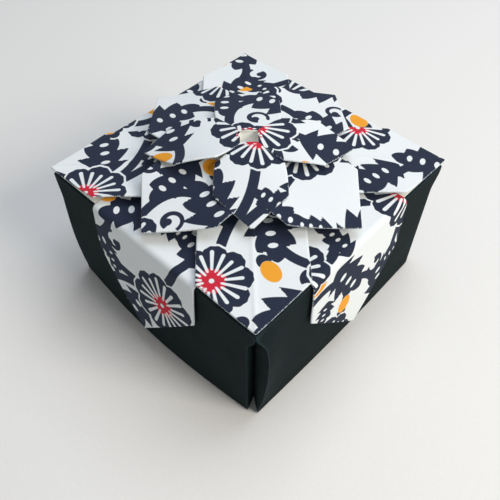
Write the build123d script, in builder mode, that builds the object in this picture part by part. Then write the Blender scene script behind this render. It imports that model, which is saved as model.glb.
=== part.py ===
from build123d import *
import os

# A square paper box and its cap. The box is one dark sheet folded up into four walls. The cap is
# one printed sheet folded into four tiers of pointed petals, each tier turned 45 degrees and set
# on the one below it. The longest petals bend over the rim and hang down the walls, and they are
# what keeps the cap in place.
# Origin: middle of the underside. X and Y run square to the walls. Millimetres.

# Box
box_side = 64.0
wall_height = 35.0
wall = 0.7  # two layers of sheet lying together
floor = 0.9
fold_radius = 0.5  # outside of a sharp fold
# The spare paper of each corner is tucked inside the box, and leaves an open pleat outside.
tuck_leg = 6.4  # how far the tucked paper reaches along each wall
pleat_mouth = 2.3  # from the corner to the edge of the open pleat, along a wall
pleat_depth = 3.4  # from the corner towards the middle, measured along a wall
pleat_bottom = 5.8  # above the table
pleat_top = 4.0  # below the rim

# Cap. Its heights are rises above its underside.
seat_gap = 0.2  # between the rim and the underside of the cap
side_gap = 0.5  # between a wall and the petal that hangs beside it
cover = 0.6
petal_edge = 0.4  # a petal's thickness at its point
# Tier 1: petals that hang down the walls
hang_width = 32.0
hang_tip_z = 7.0  # above the table
hang_flare = 1.6  # how far the point stands out from the fold
hang_bend = 1.2
# Tier 2: petals to the corners
corner_width = 22.6
corner_root_rise = 4.2
corner_tip_rise = 1.4
# Tier 3: petals to the middles of the sides
middle_inset = 0.4  # from a wall's face in to the petal's point
middle_width = 24.6
middle_root_rise = 7.4
middle_tip_rise = 3.6
# Tier 4: short petals to the corners
inner_length = 24.6
inner_width = 14.6
inner_root_rise = 10.3
inner_tip_rise = 5.8
# The middle of the flower is an open square twist.
twist_width = 3.6
twist_depth = 2.4

half_side = box_side / 2
inside = box_side - 2 * wall
cap_z = wall_height + seat_gap
corner_length = half_side * 2**0.5
hang_y = half_side + side_gap + petal_edge / 2
middle_length = half_side - middle_inset
corner_root = cap_z + corner_root_rise
corner_tip = cap_z + corner_tip_rise
middle_root = cap_z + middle_root_rise
middle_tip = cap_z + middle_tip_rise
inner_root = cap_z + inner_root_rise
inner_tip = cap_z + inner_tip_rise


def petal(length, width, root_z, tip_z, under_z):
    """A petal along +X with a square point: thick at the middle, where its layers meet."""
    with BuildPart() as made:
        with BuildSketch(Plane.XZ):
            with BuildLine():
                Polyline(
                    (0, under_z),
                    (length, tip_z - petal_edge),
                    (length, tip_z),
                    (0, root_z),
                    close=True,
                )
            make_face()
        extrude(amount=width / 2, both=True)
        with BuildSketch(Plane.XY.offset(under_z)):
            with BuildLine():
                Polyline(
                    (0, -width / 2),
                    (length - width / 2, -width / 2),
                    (length, 0),
                    (length - width / 2, width / 2),
                    (0, width / 2),
                    close=True,
                )
            make_face()
        extrude(amount=box_side, both=True, mode=Mode.INTERSECT)
    return made.part


# Box: walls and floor, with the pleats cut into the tucked corners
with BuildPart() as base:
    with BuildSketch():
        Rectangle(box_side, box_side)
    extrude(amount=wall_height)
    fillet(base.edges().filter_by(Axis.Z) + base.edges().group_by(Axis.Z)[0], fold_radius)
    with BuildSketch(Plane.XY.offset(floor)):
        Rectangle(inside, inside)
    extrude(amount=wall_height, mode=Mode.SUBTRACT)
    with BuildSketch(Plane.XY.offset(floor)):
        with PolarLocations(0, 4):
            Polygon(
                (inside / 2, inside / 2),
                (inside / 2 - tuck_leg, inside / 2),
                (inside / 2, inside / 2 - tuck_leg),
                align=None,
            )
    extrude(amount=wall_height - floor)
    with BuildSketch(Plane.XY.offset(pleat_bottom)):
        with PolarLocations(0, 4):
            Polygon(
                (half_side, half_side),
                (half_side - pleat_mouth, half_side),
                (half_side - pleat_depth, half_side - pleat_depth),
                (half_side, half_side - pleat_mouth),
                align=None,
            )
    extrude(amount=wall_height - pleat_top - pleat_bottom, mode=Mode.SUBTRACT)
base.part.label = "base"

# One hanging petal: over the rim, down the wall, and cut to a square point
with BuildPart() as hanging_petal:
    with BuildSketch(Plane.YZ):
        with BuildLine():
            FilletPolyline(
                (0, cap_z + cover - petal_edge / 2),
                (hang_y, cap_z + cover - petal_edge / 2),
                (hang_y + hang_flare, hang_tip_z),
                radius=hang_bend,
            )
        trace(line_width=petal_edge)
    extrude(amount=hang_width / 2, both=True)
    with BuildSketch(Plane.XZ):
        with BuildLine():
            Polyline(
                (0, hang_tip_z),
                (hang_width / 2, hang_tip_z + hang_width / 2),
                (hang_width / 2, wall_height + hang_width),
                (-hang_width / 2, wall_height + hang_width),
                (-hang_width / 2, hang_tip_z + hang_width / 2),
                close=True,
            )
        make_face()
    extrude(amount=box_side, both=True, mode=Mode.INTERSECT)

corner_petal = petal(corner_length, corner_width, corner_root, corner_tip, cap_z)
middle_petal = petal(middle_length, middle_width, middle_root, middle_tip, corner_tip)
inner_petal = petal(inner_length, inner_width, inner_root, inner_tip, middle_tip)

# Cap: the flat cover, then the four tiers
with BuildPart() as lid:
    with BuildSketch(Plane.XY.offset(cap_z)):
        Rectangle(box_side, box_side)
    extrude(amount=cover)
    with PolarLocations(0, 4):
        add(hanging_petal.part)
        add(middle_petal)
    with PolarLocations(0, 4, start_angle=45):
        add(corner_petal)
        add(inner_petal)
    with BuildSketch(Plane.XY.offset(inner_root)):
        Rectangle(twist_width, twist_width)
    extrude(amount=-twist_depth, mode=Mode.SUBTRACT)
lid.part.label = "lid"

os.makedirs("parts", exist_ok=True)
export_step(base.part, "parts/base.step")
export_step(lid.part, "parts/lid.step")
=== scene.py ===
"""A folded paper box with a printed flower cap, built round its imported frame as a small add-on."""

import math

import bpy
import numpy as np
from bpy.props import FloatProperty, FloatVectorProperty, PointerProperty
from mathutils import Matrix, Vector


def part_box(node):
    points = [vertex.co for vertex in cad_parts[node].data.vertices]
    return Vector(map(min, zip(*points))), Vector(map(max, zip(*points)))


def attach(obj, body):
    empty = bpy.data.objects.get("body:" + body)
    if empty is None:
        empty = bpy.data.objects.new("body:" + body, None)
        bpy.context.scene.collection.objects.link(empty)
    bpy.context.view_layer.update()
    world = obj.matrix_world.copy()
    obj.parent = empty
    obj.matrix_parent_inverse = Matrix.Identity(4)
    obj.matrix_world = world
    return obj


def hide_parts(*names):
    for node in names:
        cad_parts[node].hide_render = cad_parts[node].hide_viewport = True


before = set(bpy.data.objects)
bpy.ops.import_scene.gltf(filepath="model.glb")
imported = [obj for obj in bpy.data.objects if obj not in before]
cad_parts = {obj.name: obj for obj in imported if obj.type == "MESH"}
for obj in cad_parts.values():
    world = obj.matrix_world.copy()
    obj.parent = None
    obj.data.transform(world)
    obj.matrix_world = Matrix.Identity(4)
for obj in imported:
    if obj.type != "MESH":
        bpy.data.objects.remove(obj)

bl_info = {
    "name": "Folded paper box",
    "version": (1, 0, 0),
    "blender": (4, 5, 0),
    "location": "View3D > Sidebar > Paper box",
    "description": "Builds the petals, walls, print and stage of a folded paper box",
    "category": "Add Mesh",
}

MM = 0.001
_, BASE_TOP = (np.array(corner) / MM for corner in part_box("base"))
HALF = BASE_TOP[0]
RIM = BASE_TOP[2]
CORNER = HALF * math.sqrt(2)

# The camera's place in box widths, the way it looks, and its lens in mm.
CAMERA_PLACE = (1.0567, -1.1116, 1.9646)
CAMERA_AIM = (-0.4342, 0.4588, -0.7753)
CAMERA_LENS = 41.17

# Each tier differs from side to side, as folding by hand does. The order is the right wall (+X),
# back (+Y), left (-X) and front (-Y), or the corner that follows each. Every row starts with the
# petal's place on the printed sheet: x, y in mm and its angle.
# Then how far the point stands out, its height above the table, and how far it swings sideways.
HANGING = (
    ((34, 9, 0.4), 1.7, 6.4, 0.6),
    ((8, 41, 1.9), 1.5, 7.2, 0.0),
    ((21, 5, 3.5), 1.6, 7.0, 0.3),
    ((47, 30, 5.35), 3.4, 7.4, -0.4),
)
# Then the lift of the left and right edges.
CORNERS = (
    ((14, 22, 0.9), 0.1, 0.9),
    ((50, 12, 2.6), 0.3, 0.3),
    ((31, 40, 4.4), 1.3, 0.2),
    ((5, 3, 5.9), 0.15, 0.1),
)
# Then the lift of the left and right edges, and how far the ends of both curl under.
MIDDLES = (
    ((2, 20, 1.3), 0.3, 1.1, 1.2),
    ((37, 31, 0.2), 0.4, 0.3, 0.8),
    ((18, 50, 2.2), 0.3, 0.8, 0.8),
    ((45, 5, 4.9), 1.0, 0.2, 1.2),
)
# Then the rise of the middle line, the lift of both edges, and how far they droop at the root.
INNERS = (
    ((24, 30, 0.2), 0.7, 0.3, 1.0, 1.0),
    ((50, 38, 1.7), 0.5, 0.2, 0.3, 0.9),
    ((9, 10, 3.6), 0.9, 1.9, 0.3, 0.6),
    ((40, 10, 2.9), 0.8, 0.3, 0.3, 1.3),
)
# How far the foot of each wall bulges, and how far its loose edge stands off the pleat.
WALLS = ((0.5, 1.9), (0.4, 1.0), (0.5, 1.3), (2.0, 0.8))


# --- colour and node helpers ---------------------------------------------------------------

# Distance between the slow waves of a sheet, in mm.
COCKLE_MM = 9
COLOURS = {"data_type": "RGBA"}


def linear(hex_code):
    """An sRGB hex colour as linear RGB."""
    parts = [int(hex_code[i : i + 2], 16) / 255 for i in (0, 2, 4)]
    return [c / 12.92 if c <= 0.04045 else ((c + 0.055) / 1.055) ** 2.4 for c in parts]


def rgba(colour):
    """A linear colour with full alpha."""
    return (*colour, 1.0)


def node(tree, kind, settings=None, **links):
    """Adds one node. settings sets its attributes; links sets or joins its inputs, by name or,
    as in0, in1 and so on, by number."""
    made = tree.nodes.new(kind)
    for key, value in (settings or {}).items():
        setattr(made, key, value)
    for key, value in links.items():
        numbered = key.startswith("in")
        socket = made.inputs[int(key[2:]) if numbered else key.replace("_", " ")]
        if isinstance(value, bpy.types.NodeSocket):
            tree.links.new(value, socket)
        else:
            socket.default_value = value
    return made


def new_material(name):
    """An empty node material, its tree and its Principled shader."""
    material = bpy.data.materials.new(name)
    material.use_nodes = True
    return material, material.node_tree, material.node_tree.nodes["Principled BSDF"]


def paper_grain(tree, fibre_mm, strength, height_mm):
    """Short paper fibres over a slow cockle of the sheet, as a pattern and a bump."""
    place = node(tree, "ShaderNodeTexCoord").outputs["Object"]
    fibre = node(
        tree, "ShaderNodeTexNoise", Vector=place, Scale=1 / (fibre_mm * MM), Detail=4.0, Roughness=0.65
    ).outputs["Fac"]
    cockle = node(
        tree, "ShaderNodeTexNoise", Vector=place, Scale=1 / (COCKLE_MM * MM), Detail=2.0
    ).outputs["Fac"]
    both = node(
        tree, "ShaderNodeMath", {"operation": "MULTIPLY_ADD"}, in0=cockle, in1=1.6, in2=fibre
    ).outputs[0]
    bump = node(tree, "ShaderNodeBump", Strength=strength, Distance=height_mm * MM, Height=both)
    return fibre, bump.outputs["Normal"]


def finish_sheet(tree, shader, colour, normal, roughness, specular=0.5):
    """Joins a sheet's colour and bump to its shader and sets how dull it is."""
    tree.links.new(colour, shader.inputs["Base Color"])
    tree.links.new(normal, shader.inputs["Normal"])
    shader.inputs["Roughness"].default_value = roughness
    shader.inputs["Specular IOR Level"].default_value = specular


# --- materials -----------------------------------------------------------------------------

# Ink spreads this far past its outline, in mm.
BLEED = 0.07


def printed_washi(look):
    """Screen-printed washi: uncoated cool white sheet with flat, slightly uneven navy, red and
    orange ink. The eye sees crisp shapes, dull white fibres through the ink, and white cracks
    where a fold breaks the ink."""
    material, tree, shader = new_material("printed_washi")
    fibre, normal = paper_grain(tree, 0.35, 0.35, 0.05)
    mottle = node(
        tree, "ShaderNodeMapRange", Value=fibre, in1=0.35, in2=0.75, in3=0.0, in4=0.35
    ).outputs["Result"]
    coats = {}
    for coat, full, thin in (
        ("sheet", look.sheet, "DDE3E4"),
        ("navy", look.navy, "2A3550"),
        ("red", look.red, "DB4052"),
        ("orange", look.orange, "F8B84A"),
    ):
        coats[coat] = node(
            tree, "ShaderNodeMix", COLOURS, in0=mottle, in6=rgba(full), in7=rgba(linear(thin))
        ).outputs[2]
    colour = coats["sheet"]
    for shape, coat in (("orange", "orange"), ("ink", "navy"), ("red", "red"), ("stroke", "sheet")):
        distance = node(tree, "ShaderNodeAttribute", {"attribute_name": shape}).outputs["Fac"]
        inside = node(
            tree,
            "ShaderNodeMapRange",
            {"interpolation_type": "SMOOTHSTEP"},
            Value=distance,
            in1=BLEED,
            in2=-BLEED,
            in3=0.0,
            in4=1.0,
        ).outputs["Result"]
        colour = node(
            tree, "ShaderNodeMix", COLOURS, in0=inside, in6=colour, in7=coats[coat]
        ).outputs[2]
    # Ink flakes off along a fold, in a broken line about a tenth of a millimetre wide.
    fold = node(tree, "ShaderNodeAttribute", {"attribute_name": "fold"}).outputs["Fac"]
    flake = node(
        tree, "ShaderNodeMath", {"operation": "MULTIPLY_ADD"}, in0=fibre, in1=0.9, in2=-0.38
    ).outputs[0]
    near = node(tree, "ShaderNodeMath", {"operation": "LESS_THAN"}, in0=fold, in1=flake).outputs[0]
    worn = node(tree, "ShaderNodeMath", {"operation": "MULTIPLY"}, in0=near, in1=0.8).outputs[0]
    colour = node(
        tree, "ShaderNodeMix", COLOURS, in0=worn, in6=colour, in7=rgba(linear("C9D3D8"))
    ).outputs[2]
    finish_sheet(tree, shader, colour, normal, 0.8, 0.3)
    return material


def bare_washi():
    """The unprinted back of the washi: warm white, softer and more fibrous than the front."""
    material, tree, shader = new_material("bare_washi")
    fibre, normal = paper_grain(tree, 0.4, 0.5, 0.06)
    dull, bright = rgba(linear("E6E4DC")), rgba(linear("F3F1EA"))
    colour = node(tree, "ShaderNodeMix", COLOURS, in0=fibre, in6=dull, in7=bright).outputs[2]
    finish_sheet(tree, shader, colour, normal, 0.85)
    return material


def dark_craft_paper(look):
    """Dyed craft paper: matt blue-green black, with slow clouds in the dye, pale specks of
    undyed fibre, and a painted highlight that makes it lighter along its folds."""
    material, tree, shader = new_material("dark_craft_paper")
    fibre, normal = paper_grain(tree, 0.3, 0.6, 0.06)
    place = node(tree, "ShaderNodeTexCoord").outputs["Object"]
    cloud = node(
        tree, "ShaderNodeTexNoise", Vector=place, Scale=1 / (7 * MM), Detail=5.0
    ).outputs["Fac"]
    fleck = node(
        tree, "ShaderNodeTexNoise", Vector=place, Scale=1 / (0.5 * MM), Detail=1.0
    ).outputs["Fac"]
    fold = node(tree, "ShaderNodeAttribute", {"attribute_name": "fold"}).outputs["Fac"]
    colour = rgba(look.dark)
    # Pattern, where its tint starts, where it is strongest, how strong, and the tint.
    for pattern, start, full, strength, tint in (
        (cloud, 0.3, 0.7, 1.0, "0F1D1F"),
        (fleck, 0.7, 0.8, 0.5, "3A4A4E"),
        # The fold tint is a painted highlight: it lightens the paper within 0.6 mm of a fold, where a
        # rounded fold catches the light.
        (fold, 0.6, 0.0, 0.4, "2C3F45"),
    ):
        share = node(
            tree, "ShaderNodeMapRange", Value=pattern, in1=start, in2=full, in3=0.0, in4=strength
        ).outputs["Result"]
        colour = node(
            tree, "ShaderNodeMix", COLOURS, in0=share, in6=colour, in7=rgba(linear(tint))
        ).outputs[2]
    finish_sheet(tree, shader, colour, normal, 0.8, 0.1)
    return material


def pale_board(look):
    """Matt card for the stage: faint tooth, no sheen."""
    material, tree, shader = new_material("pale_board")
    fibre, normal = paper_grain(tree, 0.8, 0.2, 0.1)
    warm = rgba(linear("ECE9E4"))
    colour = node(tree, "ShaderNodeMix", COLOURS, in0=fibre, in6=rgba(look.floor), in7=warm)
    finish_sheet(tree, shader, colour.outputs[2], normal, 0.9)
    return material


# --- the print: distances in millimetres to generic flowers, leaves, buds and stems ---------

REPEAT = 58.0
# Beyond this many millimetres a distance makes no difference to the print.
FAR = 9.0
# x, y, radius, turn
FLOWERS = ((11, 13, 9.0, 0.3), (39, 8, 8.2, 1.1), (26, 33, 9.4, 2.0), (52, 41, 8.6, 0.7))
# x, y, angle, length, half width
LEAVES = (
    (24, 15, 0.5, 15, 5.4),
    (8, 30, 2.2, 15, 5.6),
    (42, 24, -0.5, 16, 5.8),
    (12, 47, 0.2, 16, 5.4),
    (38, 48, 1.9, 15, 5.2),
    (53, 22, 1.4, 14, 4.8),
    (27, 54, 2.9, 14, 4.6),
    (54, 57, -0.7, 12, 4.2),
    (24, 2, 1.2, 9, 3.0),
    (1, 52, 2.6, 9, 3.0),
    (37, 37, 0.9, 9, 3.0),
    (14, 38, -0.6, 8, 2.8),
)
# x, y, radius, turn
SCROLLS = (
    (32, 26, 2.7, 0.4),
    (47, 31, 2.5, 2.6),
    (19, 55, 2.7, 4.1),
    (2, 21, 2.4, 5.5),
    (47, 52, 2.5, 1.7),
)
# x, y, angle
BUDS = ((33, 18, 0.9), (19, 43, 2.5), (48, 15, -0.6), (2, 40, 1.3), (43, 38, 0.2))
# Four guide points of each stem
STEMS = (
    ((11, 13), (19, 24), (14, 32), (8, 30)),
    ((8, 30), (2, 38), (6, 46), (14, 47)),
    ((11, 13), (20, 4), (29, 6), (39, 8)),
    ((24, 14), (30, 20), (30, 26), (26, 33)),
    ((26, 33), (36, 30), (38, 26), (44, 23)),
    ((44, 23), (52, 22), (56, 30), (52, 41)),
    ((26, 33), (22, 42), (18, 42), (14, 47)),
    ((14, 47), (20, 56), (28, 52), (38, 49)),
    ((38, 49), (46, 52), (50, 48), (52, 41)),
    ((39, 8), (48, 4), (54, 12), (53, 22)),
    ((52, 41), (60, 44), (62, 50), (54, 57)),
    ((27, 54), (26, 62), (14, 64), (11, 71)),
    ((54, 57), (58, 66), (66, 64), (69, 71)),
)
STEM_WIDTH = 2.2
FLOWER_PETALS = 9
FLOWER_TEETH = 31
FLOWER_RAYS = 17


def wrapped(x, y, at):
    """Places relative to a motif's middle, in the repeat that is nearest."""
    return (
        (x - at[0] + REPEAT / 2) % REPEAT - REPEAT / 2,
        (y - at[1] + REPEAT / 2) % REPEAT - REPEAT / 2,
    )


def turned(x, y, angle):
    """Places on axes turned by an angle."""
    c, s = math.cos(angle), math.sin(angle)
    return x * c + y * s, y * c - x * s


def flower_shapes(x, y, radius, turn):
    """(ink, red, white strokes) of one round flower with rays."""
    r = np.hypot(x, y)
    angle = np.arctan2(y, x) + turn
    scallop = np.abs(np.sin(angle * FLOWER_PETALS / 2)) ** 0.6
    teeth = 0.35 * np.abs(((angle * FLOWER_TEETH / math.tau) % 1) - 0.5)
    ink = r - radius * (0.84 + 0.15 * scallop) - teeth
    red = r - radius * 0.34 * (1 + 0.06 * np.sin(angle * 8))
    step = math.tau / FLOWER_RAYS
    index = np.floor(angle / step)
    across = (angle / step - index - 0.5) * step * r
    start = radius * (0.2 + 0.14 * (index * 0.618 % 1))
    end = radius * (0.68 + 0.16 * (index * 0.414 % 1))
    along = np.clip(r, start, end)
    width = radius * (0.022 + 0.036 * (along / radius))
    stroke = np.hypot(r - along, across) - width
    dot = r - radius * 0.065
    return ink, red, np.minimum(stroke, dot)


def leaf_shapes(x, y, length, width):
    """(ink, white dots) of one jagged leaf along +X from its stalk."""
    part = np.clip(x / length + 0.5, 0, 1)
    saw = (part * 3.7 + 0.23 * (y > 0)) % 1
    half = width * np.sin(math.pi * part**0.8) ** 0.7 * (0.6 + 0.55 * saw)
    ink = (np.abs(y) - half) * 0.7
    ink = np.maximum(ink, np.abs(x) - length / 2)
    dots = np.full_like(x, FAR)
    for step in (-0.2, 0.02, 0.22):
        dots = np.minimum(dots, np.hypot((x - step * length) * 1.2, y * 0.7 + 0.2) - 0.05 * length)
    return ink, dots


def scroll_shape(x, y, radius, turn):
    """A curled tendril that ends in a round drop."""
    r = np.hypot(x, y)
    angle = (np.arctan2(y, x) - turn) % math.tau
    pulled = radius * (1 - 0.075 * angle)
    ring = np.abs(r - pulled) - 0.16 * radius - 0.05 * angle
    ring = np.where(angle > 5.2, FAR, ring)
    reach, at = 0.28 * radius, turn + 4.4
    drop = np.hypot(x - reach * math.cos(at), y - reach * math.sin(at)) - 0.36 * radius
    return np.minimum(ring, drop)


def stem_distance(x, y, points):
    """Distance to a smooth stem with four guide points."""
    t = np.linspace(0, 1, 17)[:, None]
    a, b, c, d = (np.array(p, float) for p in points)
    line = a * (1 - t) ** 3 + 3 * b * t * (1 - t) ** 2 + 3 * c * t * t * (1 - t) + d * t**3
    middle = line.mean(0)
    x, y = wrapped(x, y, middle)
    line = line - middle
    best = np.full_like(x, np.inf)
    for start, end in zip(line[:-1], line[1:]):
        run = end - start
        from_x, from_y = x - start[0], y - start[1]
        along = np.clip((from_x * run[0] + from_y * run[1]) / (run @ run), 0, 1)
        best = np.minimum(best, np.hypot(from_x - along * run[0], from_y - along * run[1]))
    return best


def print_shapes(x, y):
    """Signed distances of the whole print at sheet places x, y."""
    ink, red, orange, stroke = (np.full_like(x, FAR) for _ in range(4))
    for points in STEMS:
        ink = np.minimum(ink, stem_distance(x, y, points) - STEM_WIDTH / 2)
    for cx, cy, angle, length, width in LEAVES:
        u, v = turned(*wrapped(x, y, (cx, cy)), angle)
        leaf, dots = leaf_shapes(u, v, length, width)
        ink = np.minimum(ink, leaf)
        stroke = np.minimum(stroke, dots)
    for cx, cy, radius, turn in SCROLLS:
        ink = np.minimum(ink, scroll_shape(*wrapped(x, y, (cx, cy)), radius, turn))
    for cx, cy, angle in BUDS:
        u, v = turned(*wrapped(x, y, (cx, cy)), angle)
        bud = np.hypot(u * 0.72, v) - 1.9
        cup = np.hypot((u + 2.6) * 0.8, v) - 1.5
        orange = np.minimum(orange, bud)
        ink = np.maximum(np.minimum(ink, cup), -bud)
        stroke = np.maximum(stroke, -bud)
    for cx, cy, radius, turn in FLOWERS:
        u, v = wrapped(x, y, (cx, cy))
        outline, middle, rays = flower_shapes(u, v, radius, turn)
        clear = outline - 0.5
        ink = np.where(outline < 0.0, outline, np.maximum(ink, np.minimum(-clear, FAR)))
        ink = np.minimum(ink, outline)
        stroke = np.where(outline < 0.3, rays, stroke)
        orange = np.maximum(orange, -clear)
        red = np.minimum(red, middle)
    return {"ink": ink, "red": red, "orange": orange, "stroke": stroke}


# --- meshes --------------------------------------------------------------------------------

# A petal's point is this blunt, in mm.
BLUNT = 0.12


def add_piece(name, points_mm, faces, materials, kinds, body, stands_for, rounded=True):
    """A mesh piece at the frame's origin, riding on its body."""
    mesh = bpy.data.meshes.new(name)
    mesh.from_pydata((np.asarray(points_mm) * MM).tolist(), [], faces)
    for material in materials:
        mesh.materials.append(material)
    mesh.polygons.foreach_set("material_index", kinds)
    mesh.polygons.foreach_set("use_smooth", [rounded] * len(mesh.polygons))
    mesh.update()
    piece = bpy.data.objects.new(name, mesh)
    bpy.context.scene.collection.objects.link(piece)
    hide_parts(stands_for)
    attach(piece, body)
    return piece


def set_attribute(piece, name, values):
    """A number for each point of a piece, for its material to read."""
    attribute = piece.data.attributes.new(name, "FLOAT", "POINT")
    attribute.data.foreach_set("value", np.asarray(values, np.float32))


def extruded(outline, low, high):
    """Points and faces of a straight prism."""
    n = len(outline)
    points = [(*p, low) for p in outline] + [(*p, high) for p in outline]
    faces = [tuple(range(n))[::-1], tuple(range(n, 2 * n))]
    faces += [(i, (i + 1) % n, n + (i + 1) % n, n + i) for i in range(n)]
    return points, faces


def skinned(levels, around):
    """Faces that join closed levels of points, one above the other, with both ends closed."""
    faces = []
    for level_start in range(0, (levels - 1) * around, around):
        for i in range(around):
            a, b = level_start + i, level_start + (i + 1) % around
            faces.append((a, b, b + around, a + around))
    faces.append(tuple(range(around))[::-1])
    faces.append(tuple(range((levels - 1) * around, levels * around)))
    return faces


def smooth(value):
    """A share from 0 to 1 that starts and ends gently."""
    value = np.clip(value, 0, 1)
    return value * value * (3 - 2 * value)


def columns(half, step, fold):
    """Places across a petal from -1 to 1, closer together round its folded edges."""
    count = max(4, int(2 * half / step))
    inner = np.linspace(-1 + fold / half, 1 - fold / half, count)
    turn = np.sin(np.linspace(0, math.pi / 2, 5))[1:]
    edge = 1 - fold / half + turn * fold / half
    return np.concatenate([-edge[::-1], inner, edge])


def petal(context, name, turn_deg, reach, half_width, surface, place, fineness=1.0):
    """A closed, folded petal. half_width(u) gives its outline, with u the distance from the
    flower's middle, and surface(u, v) gives its upper face and the direction that faces out."""
    root, length = reach
    thickness = context.scene.paper_sizes.petal
    step = context.scene.paper_sizes.mesh_step * fineness
    rows = np.append(np.arange(root, length - BLUNT, step), length - BLUNT)
    widest = max(half_width(u) for u in rows)
    across = columns(widest, step, thickness)
    halves = np.array([max(half_width(u), BLUNT) for u in rows])[:, None]
    u = np.repeat(rows[:, None], len(across), 1)
    # Columns keep their distance from the fold, so that its edge is as tight at the point.
    from_fold = (1 - np.abs(across)) * widest
    squeezed = across * halves
    kept = np.sign(across) * (halves - from_fold)
    v = np.where(from_fold < thickness * 1.001, kept, squeezed)
    v = np.where(halves < 2 * thickness, squeezed, v)
    v = np.sort(np.sign(v) * np.minimum(np.abs(v), halves), axis=1)
    from_edge = halves - np.abs(v)
    over_edge = np.clip(1 - from_edge / thickness, 0, 1)
    lost = thickness * (1 - np.sqrt(1 - over_edge**2))
    top, out = surface(u, v)
    top = top - out * lost[..., None]
    inside = [len(across) * quarter // 4 for quarter in (1, 2, 3)]
    under, facing = surface(u[:, inside], v[:, inside])
    under = under - facing * thickness

    n, m = u.shape
    points = np.concatenate([top.reshape(-1, 3), under.reshape(-1, 3)])
    spin = math.radians(turn_deg)
    points[:, :2] = np.stack(turned(points[:, 0], points[:, 1], -spin), -1)
    starts = [row * m + column for row in range(n - 1) for column in range(m - 1)]
    front = [(a, a + m, a + m + 1, a + 1) for a in starts]

    def back_row(row):
        first = n * m + 3 * row
        return (row * m, first, first + 1, first + 2, row * m + m - 1)

    back = []
    for row in range(n - 1):
        near, far = back_row(row), back_row(row + 1)
        back += [(near[k], near[k + 1], far[k + 1], far[k]) for k in range(4)]
    back.append((*range(m), *back_row(0)[3:0:-1]))
    back.append((*back_row(n - 1)[1:4], *range(n * m - 1, (n - 1) * m - 1, -1)))
    kinds = [0] * len(front) + [1] * len(back)
    materials = washi(context)
    piece = add_piece(name, points, front + back, materials, kinds, "cap", "lid")
    x, y, angle = place
    sheet_x, sheet_y = turned(u.ravel(), v.ravel(), angle)
    shapes = print_shapes(sheet_x + x, sheet_y + y)
    shapes["fold"] = from_edge.ravel()
    for shape, distances in shapes.items():
        set_attribute(piece, shape, np.concatenate([distances, np.full(3 * n, FAR)]))


def level(x, y, z, slope):
    """A nearly level surface and its outward direction."""
    up = np.stack([np.full_like(x, slope), np.zeros_like(x), np.ones_like(x)], -1)
    up /= np.linalg.norm(up, axis=-1, keepdims=True)
    return np.stack([x, y, z], -1), up


def hanging_surface(point_out, point_z, sway):
    """Over the rim and down the wall, standing a little further out towards the point. Also
    gives the petal's length along the paper."""
    bend, puff, hollow = 1.5, 0.5, 0.00385
    flat = HALF + 0.75 - bend
    top_z = RIM + 1.15
    arc = bend * math.pi / 2
    drop = top_z - bend - point_z

    def surface(u, v):
        s = u - flat
        turn = np.clip(s / arc, 0, 1) * math.pi / 2
        down = np.clip(s - arc, 0, None)
        share = down / drop
        out = flat + np.minimum(s, 0) + bend * np.sin(turn)
        out = out + point_out * share**1.4 + puff * np.sin(math.pi * np.clip(share, 0, 1))
        out = out - hollow * np.clip(share * 3, 0, 1) * v**2 * (0.3 + share)
        ripple = 0.15 * np.sin(v * 0.21 + 1) * smooth(-s / 6)
        z = top_z - bend * (1 - np.cos(turn)) - down + ripple
        facing = np.stack([np.sin(turn), np.zeros_like(u), np.cos(turn)], -1)
        return np.stack([out, v + sway * share, z], -1), facing

    return surface, flat + arc + drop


def corner_surface(lift_left, lift_right):
    """Nearly flat to the corner, with a soft crease down the middle and a lifted edge."""
    point_rise, root_rise, fall = 1.75, 2.6, 0.016
    crease, crease_width = 0.12, 0.5
    free_from, half = 20, 11

    def surface(u, v):
        z = RIM + point_rise + root_rise * (1 - smooth(u / CORNER)) - fall * np.abs(v)
        z = z + crease * np.exp(-((v / crease_width) ** 2))
        free = np.clip((u - free_from) / (CORNER - free_from), 0, 1)
        edge = np.clip(np.abs(v) / half, 0, 1) ** 2
        z = z + np.where(v > 0, lift_left, lift_right) * edge * np.sin(math.pi * free) ** 1.5
        return level(u, v, z, 0.06)

    return surface


def middle_surface(lift_left, lift_right, curl):
    """Arched along its length, its long edges lifted or rolled under."""
    point_rise, root_rise, arch = 3.9, 3.3, 0.5
    free_from, half = 8, 11.5

    def surface(u, v):
        share = u / HALF
        z = RIM + point_rise + root_rise * (1 - share**1.2) + arch * np.sin(math.pi * share)
        edge = np.clip(np.abs(v) / half, 0, 1) ** 2.2
        wave = np.sin(math.pi * np.clip((u - free_from) / (HALF - free_from), 0, 1))
        z = z + np.where(v > 0, lift_left, lift_right) * edge * wave
        z = z - curl * edge * (1 - wave)
        return level(u, v, z, 0.1)

    return surface


def inner_surface(arch, lift_left, lift_right, droop):
    """Short and cupped, springing from the twist."""
    point_rise, root_rise = 5.9, 4.0
    length, half = 23.5, 7.5

    def surface(u, v):
        share = u / length
        z = RIM + point_rise + root_rise * (1 - share) ** 1.15 + arch * np.sin(math.pi * share)
        edge = np.clip(np.abs(v) / half, 0, 1) ** 2
        wave = np.sin(math.pi * np.clip(share, 0, 1) ** 0.8)
        z = z + np.where(v > 0, lift_left, lift_right) * edge * wave
        z = z - droop * edge * (1 - share)
        return level(u, v, z, 0.16)

    return surface


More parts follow.
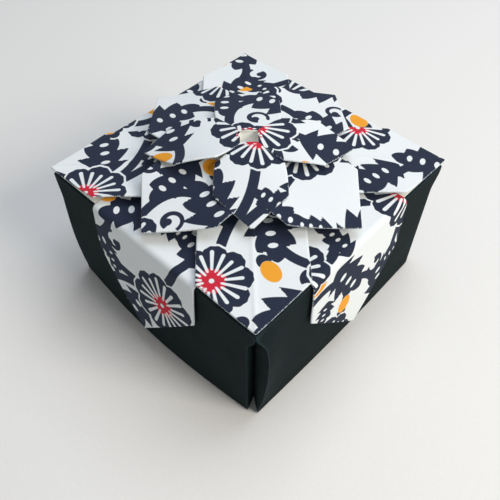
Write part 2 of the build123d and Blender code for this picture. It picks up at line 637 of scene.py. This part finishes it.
def wall_loop(z, inner, wall):
    """One level of the walls, with each place's distance from the nearest upright fold. Each
    corner's spare paper is tucked in behind an open pleat."""
    loop, fold = [], []
    # The pleat is shut at the rim and fully open 6.5 mm below it.
    opened = smooth((RIM - 1.5 - z) / 5.0)
    mouth = 0.25 + 2.1 * opened
    setback = 0.3 + 0.9 * opened
    # The loose edge draws back and stands off between the foot and the rim.
    bow = math.sin(math.pi * min(1, max(0, (z - 4) / (RIM - 5))) ** 2.2)
    belly = math.sin(math.pi * min(1, max(0, (z - 2) / (RIM - 4)))) ** 0.8
    loose_from = 0.72
    tuck_leg = 6.4
    if inner:
        tucked = HALF - wall
        shares = (0.25, 0.5, 0.75)
        corner = [(tucked - tuck_leg * s, tucked - tuck_leg * (1 - s)) for s in shares]
    else:
        valley = HALF - 0.35 - 3.4 * opened
        corner = [
            ((HALF - 0.5 * opened + valley) / 2, (HALF - mouth + valley) / 2),
            (valley, valley),
            ((HALF - 0.9 + valley) / 2, (HALF + valley) / 2),
        ]
    for side, (bulge, loose) in enumerate(WALLS):
        angle = -math.pi / 2 * side
        start = HALF - setback - 0.7 * loose * bow
        end = HALF - mouth
        for t in np.linspace(-1, 1, 25):
            along = t * (end if t > 0 else start)
            out = HALF - 0.15 + bulge * math.cos(t * math.pi / 2) * (1 - z / RIM) ** 1.2
            out += loose * max(0.0, (-t - loose_from) / (1 - loose_from)) ** 1.6 * belly
            if inner:
                out = min(out, HALF) - wall
                along *= (HALF - tuck_leg - 0.4) / HALF
            loop.append(turned(out, along, angle))
            fold.append(min((1 - abs(t)) * HALF, FAR))
        for x, y in corner:
            loop.append(turned(x, y, angle))
            fold.append(FAR)
    return loop, fold


# --- add-on --------------------------------------------------------------------------------


class PaperLook(bpy.types.PropertyGroup):
    """Colours of the two papers and their inks."""

    sheet: FloatVectorProperty(
        name="Sheet",
        description="Unprinted front of the washi",
        subtype="COLOR",
        default=linear("EDF1F1"),
    )
    navy: FloatVectorProperty(
        name="Navy ink", description="Main ink", subtype="COLOR", default=linear("161F31")
    )
    red: FloatVectorProperty(
        name="Red ink", description="Flower middles", subtype="COLOR", default=linear("CC1E35")
    )
    orange: FloatVectorProperty(
        name="Orange ink", description="Buds", subtype="COLOR", default=linear("F3A126")
    )
    dark: FloatVectorProperty(
        name="Box paper",
        description="Dyed paper of the box",
        subtype="COLOR",
        default=linear("0A1415"),
    )
    floor: FloatVectorProperty(
        name="Floor", description="Stage floor", subtype="COLOR", default=linear("F4F2EE")
    )


class PaperSizes(bpy.types.PropertyGroup):
    """Sizes in millimetres that the folder would change, and the main lamp."""

    mesh_step: FloatProperty(
        name="Mesh step",
        description="Distance between a petal's points, mm",
        default=0.26,
        min=0.1,
        max=2,
    )
    petal: FloatProperty(
        name="Petal thickness",
        description="A folded petal's layers together, mm",
        default=0.34,
        min=0.1,
        max=1,
    )
    wall: FloatProperty(
        name="Wall thickness",
        description="A folded wall's layers together, mm",
        default=0.7,
        min=0.2,
        max=2,
    )
    corner_width: FloatProperty(
        name="Corner petals",
        description="Width of the petals to the corners, mm",
        default=22.6,
        min=5,
        max=40,
    )
    hang_width: FloatProperty(
        name="Hanging petals",
        description="Width of the hanging petals, mm",
        default=32.0,
        min=5,
        max=60,
    )
    key_light: FloatProperty(
        name="Window light",
        description="Power of the main lamp",
        unit="POWER",
        default=2.08,
        min=0,
    )


def washi(context):
    """The cap's two materials: the printed front of its sheet and the bare back."""
    found = bpy.data.materials
    if "printed_washi" not in found:
        printed_washi(context.scene.paper_look)
        bare_washi()
    return [found["printed_washi"], found["bare_washi"]]


class BOX_OT_hanging_petals(bpy.types.Operator):
    """The first tier: four long petals that bend over the rim and hang down the walls"""

    bl_idname = "paper_box.hanging_petals"
    bl_label = "Hanging petals"

    def execute(self, context):
        half = context.scene.paper_sizes.hang_width / 2
        for k, (place, *folding) in enumerate(HANGING):
            surface, length = hanging_surface(*folding)
            name = f"hanging_petal_{k + 1}"
            reach = (15.0, length)
            petal(
                context, name, 90 * k, reach, lambda u: min(half, length - u), surface, place
            )
        return {"FINISHED"}


class BOX_OT_corner_petals(bpy.types.Operator):
    """The second tier: four straight petals to the corners"""

    bl_idname = "paper_box.corner_petals"
    bl_label = "Corner petals"

    def execute(self, context):
        half = context.scene.paper_sizes.corner_width / 2
        reach = (7.0, CORNER)

        def outline(u):
            return min(half, CORNER - u)

        for k, (place, *folding) in enumerate(CORNERS):
            name = f"corner_petal_{k + 1}"
            surface = corner_surface(*folding)
            petal(context, name, 45 + 90 * k, reach, outline, surface, place)
        return {"FINISHED"}


class BOX_OT_middle_petals(bpy.types.Operator):
    """The third tier: four wide petals to the middles of the sides"""

    bl_idname = "paper_box.middle_petals"
    bl_label = "Middle petals"

    def execute(self, context):
        root, length, half = 4.0, HALF - 0.4, 11.6

        def outline(u):
            return min(half, (length - u) * 1.15, root + u)

        for k, (place, *folding) in enumerate(MIDDLES):
            name = f"middle_petal_{k + 1}"
            surface = middle_surface(*folding)
            petal(context, name, 90 * k, (root, length), outline, surface, place)
        return {"FINISHED"}


class BOX_OT_inner_petals(bpy.types.Operator):
    """The fourth tier: four short petals round the open twist"""

    bl_idname = "paper_box.inner_petals"
    bl_label = "Inner petals"

    def execute(self, context):
        reach = (2.0, 23.8)
        half, widest_from, taper = 7.8, 12, 0.016

        def outline(u):
            waist = half - taper * min(u - widest_from, 0) ** 2
            return min(waist, reach[1] - u, u + 0.3)

        for k, (place, *folding) in enumerate(INNERS):
            name = f"inner_petal_{k + 1}"
            surface = inner_surface(*folding)
            petal(context, name, 45 + 90 * k, reach, outline, surface, place, fineness=0.8)
        return {"FINISHED"}


class BOX_OT_cap_core(bpy.types.Operator):
    """The flat back of the cap's sheet and the folded twist in the middle of the flower"""

    bl_idname = "paper_box.cap_core"
    bl_label = "Cap back and twist"

    def execute(self, context):
        materials = washi(context)
        inset = HALF - 0.6
        square = [(inset, inset), (-inset, inset), (-inset, -inset), (inset, -inset)]
        points, faces = extruded(square, RIM + 0.25, RIM + 0.75)
        kinds = [1] * len(faces)
        back = add_piece(
            "cap_back", points, faces, materials, kinds, "cap", "lid", False
        )
        for name in ("ink", "red", "orange", "stroke", "fold"):
            set_attribute(back, name, np.full(len(points), FAR))
        # The twist is a square collar whose four walls lean inwards, open in the middle. Each
        # ring has half its width, then its height, and the last is the foot of the bare inside.
        rings = (
            (6.0, RIM + 0.9),
            (6.0, RIM + 4.6),
            (4.6, RIM + 8.0),
            (2.6, RIM + 9.7),
            (2.15, RIM + 9.5),
            (2.0, RIM + 1.2),
        )
        steps = 12
        around = 4 * steps
        points = []
        for half, z in rings:
            for side in range(4):
                for i in range(steps):
                    t = i / steps * 2 - 1
                    x, y = turned(half, half * t * 0.98, math.pi / 4 - math.pi / 2 * side)
                    points.append((x, y, z + 0.15 * math.cos(math.pi * t)))
        faces = skinned(len(rings), around)
        printed = (len(rings) - 2) * around
        kinds = [0] * printed + [1] * (len(faces) - printed)
        twist = add_piece("twist", points, faces, materials, kinds, "cap", "lid")
        place = np.array(points)
        shapes = print_shapes(place[:, 0] + 26, place[:, 1] + 33)
        shapes["fold"] = np.full(len(points), FAR)
        for name, distances in shapes.items():
            set_attribute(twist, name, distances)
        return {"FINISHED"}


class BOX_OT_walls(bpy.types.Operator):
    """The dark box: four walls, the open pleats of the corners, the rim and the floor"""

    bl_idname = "paper_box.walls"
    bl_label = "Box walls"

    def execute(self, context):
        wall = context.scene.paper_sizes.wall
        dark = dark_craft_paper(context.scene.paper_look)
        top = RIM - 0.02
        outer = [0.0, 0.12, 0.4, *np.linspace(1.2, top - 0.5, 34), top - 0.2, top - 0.05]
        inner = [top - 0.05, top - 0.3, *np.linspace(top - 1.2, 0.9, 16)]
        # The foot and the rim are folds, so their levels draw in by this many millimetres.
        drawn_in = {0: 0.35, 1: 0.12, len(outer) - 1: 0.22}
        # The distances to the upright folds, the foot and the rim set where the painted fold highlight
        # lightens the dark paper.
        points, fold = [], []
        for i, z in enumerate(outer):
            loop, near = wall_loop(z, False, wall)
            shrink = 1 - drawn_in.get(i, 0) / HALF
            points += [(x * shrink, y * shrink, z) for x, y in loop]
            fold += [min(f, z + 0.1, top - z) for f in near]
        for z in inner:
            loop, near = wall_loop(z, True, wall)
            points += [(x, y, z) for x, y in loop]
            fold += [min(f, top - z + 0.1) for f in near]
        faces = skinned(len(outer) + len(inner), len(loop))
        kinds = [0] * len(faces)
        shell = add_piece("box_walls", points, faces, [dark], kinds, "box", "base")
        set_attribute(shell, "fold", fold)
        shell.data.set_sharp_from_angle(angle=math.radians(40))
        # Inside, the sheet's four corners meet in the middle of the floor, each a little lifted.
        edge = HALF - wall - 6.6
        triangle = ((0.25, 0), (edge, -edge + 0.3), (edge, edge - 0.3))
        for side in range(4):
            outline = [turned(x, y, -math.pi / 2 * side) for x, y in triangle]
            points, faces = extruded(outline, 0.88, 1.15)
            points = [(x, y, z + (0.35 if i in (0, 3) else 0)) for i, (x, y, z) in enumerate(points)]
            name = f"floor_flap_{side + 1}"
            kinds = [0] * len(faces)
            flap = add_piece(
                name, points, faces, [dark], kinds, "box", "base", False
            )
            # Every point of a floor flap counts as 0.3 mm from a fold, so the whole flap is lightened
            # by part of the painted fold highlight.
            set_attribute(flap, "fold", np.full(len(points), 0.3))
        return {"FINISHED"}


def lamp(name, place, size, power, colour, aim):
    """A square soft lamp turned towards a place."""
    light = bpy.data.lights.new(name, "AREA")
    light.shape = "SQUARE"
    light.size = size
    light.energy = power
    light.color = linear(colour)
    made = bpy.data.objects.new(name, light)
    made.location = place
    made.rotation_euler = (Vector(aim) - Vector(place)).to_track_quat("-Z", "Y").to_euler()
    bpy.context.scene.collection.objects.link(made)


class BOX_OT_stage(bpy.types.Operator):
    """The camera, the soft window light and the pale floor"""

    bl_idname = "paper_box.stage"
    bl_label = "Stage"

    def execute(self, context):
        scene = context.scene
        camera = bpy.data.objects.new("camera", bpy.data.cameras.new("camera"))
        camera.data.sensor_width = 36
        camera.data.lens = CAMERA_LENS
        camera.data.clip_start = 0.005
        camera.location = Vector(CAMERA_PLACE) * 2 * HALF * MM
        camera.rotation_euler = Vector(CAMERA_AIM).to_track_quat("-Z", "Y").to_euler()
        scene.collection.objects.link(camera)
        scene.camera = camera
        middle = (0, 0, RIM * MM / 2)
        power = scene.paper_sizes.key_light
        lamp("window", (0.46, 0.10, 0.36), size=0.24, power=power, colour="FFF9F0", aim=middle)
        lamp("sky", (0.0, 0.22, 0.6), size=0.5, power=2.2, colour="EAF3FF", aim=middle)
        # The room is brighter to the camera and in reflections than as light on the box.
        world = bpy.data.worlds.new("room")
        world.use_nodes = True
        tree = world.node_tree
        rays = node(tree, "ShaderNodeLightPath").outputs
        seen = rays["Is Camera Ray"]
        for kind in ("Is Glossy Ray", "Is Transmission Ray"):
            seen = node(
                tree, "ShaderNodeMath", {"operation": "MAXIMUM"}, in0=seen, in1=rays[kind]
            ).outputs[0]
        strength = node(
            tree, "ShaderNodeMapRange", Value=seen, in1=0.0, in2=1.0, in3=0.24, in4=0.9
        ).outputs["Result"]
        background = tree.nodes["Background"]
        background.inputs["Color"].default_value = (0.93, 0.96, 1.0, 1)
        tree.links.new(strength, background.inputs["Strength"])
        scene.world = world
        scene.view_settings.view_transform = "Standard"
        mesh = bpy.data.meshes.new("floor")
        reach = 1.6
        corners = [(-reach, -reach, 0), (reach, -reach, 0), (reach, reach, 0), (-reach, reach, 0)]
        mesh.from_pydata(corners, [], [(0, 1, 2, 3)])
        mesh.materials.append(pale_board(scene.paper_look))
        floor = bpy.data.objects.new("floor", mesh)
        floor.location = (0, 0, -0.0001)
        scene.collection.objects.link(floor)
        return {"FINISHED"}


class BOX_PT_panel(bpy.types.Panel):
    bl_label = "Paper box"
    bl_idname = "BOX_PT_panel"
    bl_space_type = "VIEW_3D"
    bl_region_type = "UI"
    bl_category = "Paper box"

    def draw(self, context):
        for group in (context.scene.paper_look, context.scene.paper_sizes):
            for name in group.__annotations__:
                self.layout.prop(group, name)
        for operator in STEPS:
            self.layout.operator(operator.bl_idname)


STEPS = (
    BOX_OT_stage,
    BOX_OT_walls,
    BOX_OT_cap_core,
    BOX_OT_hanging_petals,
    BOX_OT_corner_petals,
    BOX_OT_middle_petals,
    BOX_OT_inner_petals,
)
CLASSES = (PaperLook, PaperSizes, *STEPS, BOX_PT_panel)


def register():
    for made in CLASSES:
        bpy.utils.register_class(made)
    bpy.types.Scene.paper_look = PointerProperty(type=PaperLook)
    bpy.types.Scene.paper_sizes = PointerProperty(type=PaperSizes)


def unregister():
    del bpy.types.Scene.paper_look
    del bpy.types.Scene.paper_sizes
    for made in reversed(CLASSES):
        bpy.utils.unregister_class(made)


def main():
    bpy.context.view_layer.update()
    register()
    bpy.ops.paper_box.stage()
    bpy.ops.paper_box.walls()
    bpy.ops.paper_box.cap_core()
    bpy.ops.paper_box.hanging_petals()
    bpy.ops.paper_box.corner_petals()
    bpy.ops.paper_box.middle_petals()
    bpy.ops.paper_box.inner_petals()


if __name__ == "__main__":
    main()
